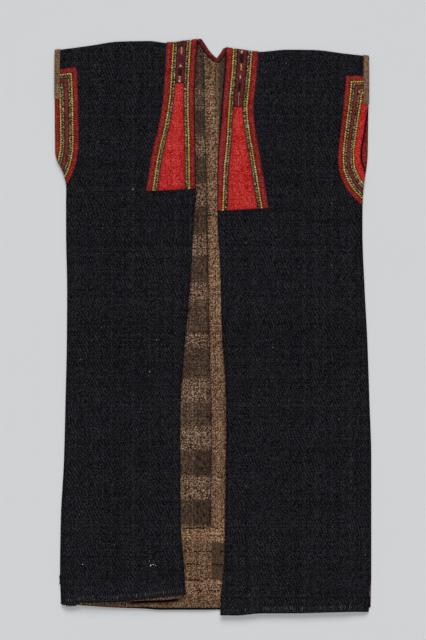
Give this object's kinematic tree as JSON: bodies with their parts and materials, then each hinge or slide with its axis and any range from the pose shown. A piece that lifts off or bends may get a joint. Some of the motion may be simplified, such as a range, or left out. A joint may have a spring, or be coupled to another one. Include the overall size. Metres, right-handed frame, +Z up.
{
  "type": "embroidered long robe",
  "caption": "Sleeveless open-front long robe of dark homespun, laid flat: red wool collar bands and armhole bands edged with braid, brown lining showing in the opening.",
  "frame": {"origin": "on the surface the robe lies on, under the middle of its bounding box", "axes": "+Y towards the neck, +Z up from the surface, +X to the right as seen from above with the neck at the top"},
  "size_m": [0.6008, 1.0967, 0.015],
  "materials": {
    "dark_cloth": "matt, coarse plain weave",
    "brown_lining": "matt, coarse plain weave",
    "checked_lining": "matt, coarse weave in large dark and light checks",
    "crimson_wool": "felted wool",
    "scarlet_wool": "felted wool",
    "braid": "stitched thread in yellow and green"
  },
  "bodies": {
    "root": {"back_panel": "dark_cloth", "back_lining_left": "checked_lining", "back_lining_right": "brown_lining", "back_hem_facing": "brown_lining", "neck_binding": "crimson_wool", "armhole_facing_left": "scarlet_wool", "front_left": "dark_cloth", "front_lining_left": "brown_lining", "collar_edge_outer_left": "crimson_wool", "collar_braid_outer_left": "braid", "collar_braid_inner_left": "braid", "collar_edge_inner_left": "crimson_wool", "collar_panel_left": "scarlet_wool", "collar_tape_left": "crimson_wool", "armhole_binding_left": "brown_lining", "armhole_edge_left": "crimson_wool", "armhole_braid_outer_left": "braid", "armhole_middle_left": "crimson_wool", "armhole_braid_inner_left": "braid", "armhole_lip_left": "scarlet_wool", "armhole_facing_right": "scarlet_wool", "front_right": "dark_cloth", "front_lining_right": "brown_lining", "collar_edge_outer_right": "crimson_wool", "collar_braid_outer_right": "braid", "collar_braid_inner_right": "braid", "collar_edge_inner_right": "crimson_wool", "collar_panel_right": "scarlet_wool", "collar_tape_right": "crimson_wool", "armhole_binding_right": "brown_lining", "armhole_edge_right": "crimson_wool", "armhole_braid_outer_right": "braid", "armhole_middle_right": "crimson_wool", "armhole_braid_inner_right": "braid", "armhole_lip_right": "scarlet_wool"}
  },
  "joints": []
}
